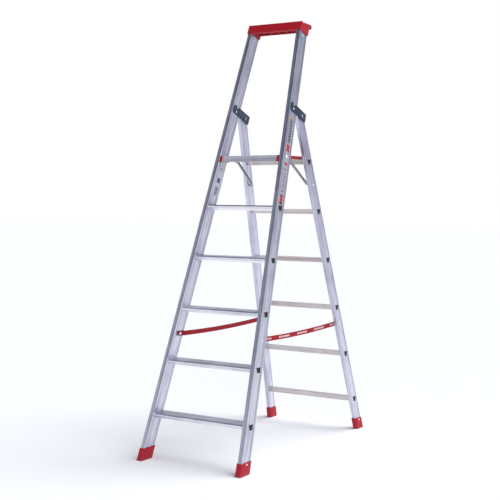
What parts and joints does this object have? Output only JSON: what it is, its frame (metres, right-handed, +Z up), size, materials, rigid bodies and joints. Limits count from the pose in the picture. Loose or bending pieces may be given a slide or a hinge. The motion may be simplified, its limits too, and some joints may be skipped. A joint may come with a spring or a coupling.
{
  "type": "folding platform step ladder",
  "caption": "Free-standing folding step ladder with flat treads, a fold-up platform, a moulded tool tray, a runged rear section, pivoting struts and webbing straps.",
  "frame": {"origin": "on the floor, at the middle of the open ladder's footprint", "axes": "+Z up, climbing side faces -Y, X across the treads"},
  "size_m": [0.5576, 1.1852, 2.0229],
  "materials": {
    "stile_aluminium": "satin, extruded",
    "tread_aluminium": "satin, ribbed",
    "rung_aluminium": "satin, extruded",
    "red_plastic": "fine satin grain",
    "hinge_steel": "zinc plated, dull",
    "plated_steel": "zinc plated",
    "rivet_steel": "zinc plated",
    "nylon": "natural",
    "black_plastic": "satin",
    "webbing": "woven",
    "label_foil": "printed film"
  },
  "bodies": {
    "front_section": {"front_stile_left": "stile_aluminium", "front_stile_right": "stile_aluminium", "tread_1": "tread_aluminium", "tread_2": "tread_aluminium", "tread_3": "tread_aluminium", "tread_4": "tread_aluminium", "tread_5": "tread_aluminium", "tool_tray": "red_plastic", "tray_rivets": "rivet_steel", "hinge_plate_outer_left": "hinge_steel", "hinge_plate_inner_left": "hinge_steel", "hinge_plate_outer_right": "hinge_steel", "hinge_plate_inner_right": "hinge_steel", "hinge_plate_rivets": "rivet_steel", "hinge_pivot_left": "plated_steel", "hinge_pivot_right": "plated_steel", "hinge_washers": "nylon", "platform_bolt_left": "rivet_steel", "platform_bolt_right": "rivet_steel", "platform_washers": "nylon", "tread_plugs": "black_plastic", "front_shoe_left": "red_plastic", "front_shoe_right": "red_plastic", "front_shoe_rivets": "rivet_steel", "strap_rivets_front": "rivet_steel", "strap_left": "webbing", "strap_right": "webbing", "stile_label_long": "label_foil", "stile_label_short": "label_foil"},
    "rear_section": {"rear_stile_left": "stile_aluminium", "rear_stile_right": "stile_aluminium", "rear_rung_1": "rung_aluminium", "rear_rung_2": "rung_aluminium", "rear_rung_3": "rung_aluminium", "rear_rung_4": "rung_aluminium", "rear_rung_5": "rung_aluminium", "rear_rung_6": "rung_aluminium", "rung_plugs": "black_plastic", "rear_shoe_left": "red_plastic", "rear_shoe_right": "red_plastic", "rear_shoe_rivets": "rivet_steel", "strap_rivets_rear": "rivet_steel", "strut_anchor_rivets": "rivet_steel", "strut_bosses": "plated_steel"},
    "platform": {"platform_board": "tread_aluminium", "platform_cap_left": "red_plastic", "platform_cap_right": "red_plastic", "strut_brackets": "plated_steel", "bracket_rivets": "rivet_steel", "strut_pivot_rivets": "rivet_steel"},
    "strut_l": {"strut_left": "plated_steel"},
    "strut_r": {"strut_right": "plated_steel"}
  },
  "joints": [
    {"name": "rear_fold", "type": "hinge", "parent": "front_section", "child": "rear_section", "pos_m": [0, 0.11067, 1.56737], "axis": [-1, 0, 0], "range_deg": [0, 36], "deforming": ["strap_left", "strap_right"]},
    {"name": "platform_fold", "type": "hinge", "parent": "front_section", "child": "platform", "pos_m": [0, -0.05358, 1.369], "axis": [1, 0, 0], "range_deg": [0, 63.54]},
    {"name": "strut_left_pivot", "type": "hinge", "parent": "platform", "child": "strut_l", "pos_m": [0, 0.03942, 1.354], "axis": [-1, 0, 0], "range_deg": [0, 121.93]},
    {"name": "strut_right_pivot", "type": "hinge", "parent": "platform", "child": "strut_r", "pos_m": [0, 0.03942, 1.354], "axis": [-1, 0, 0], "range_deg": [0, 121.93]}
  ],
  "couplings": [
    {"joint": "platform_fold", "follows": "rear_fold", "ratio": 1.7636},
    {"joint": "strut_left_pivot", "follows": "rear_fold", "ratio": 3.3842},
    {"joint": "strut_right_pivot", "follows": "rear_fold", "ratio": 3.3842}
  ]
}
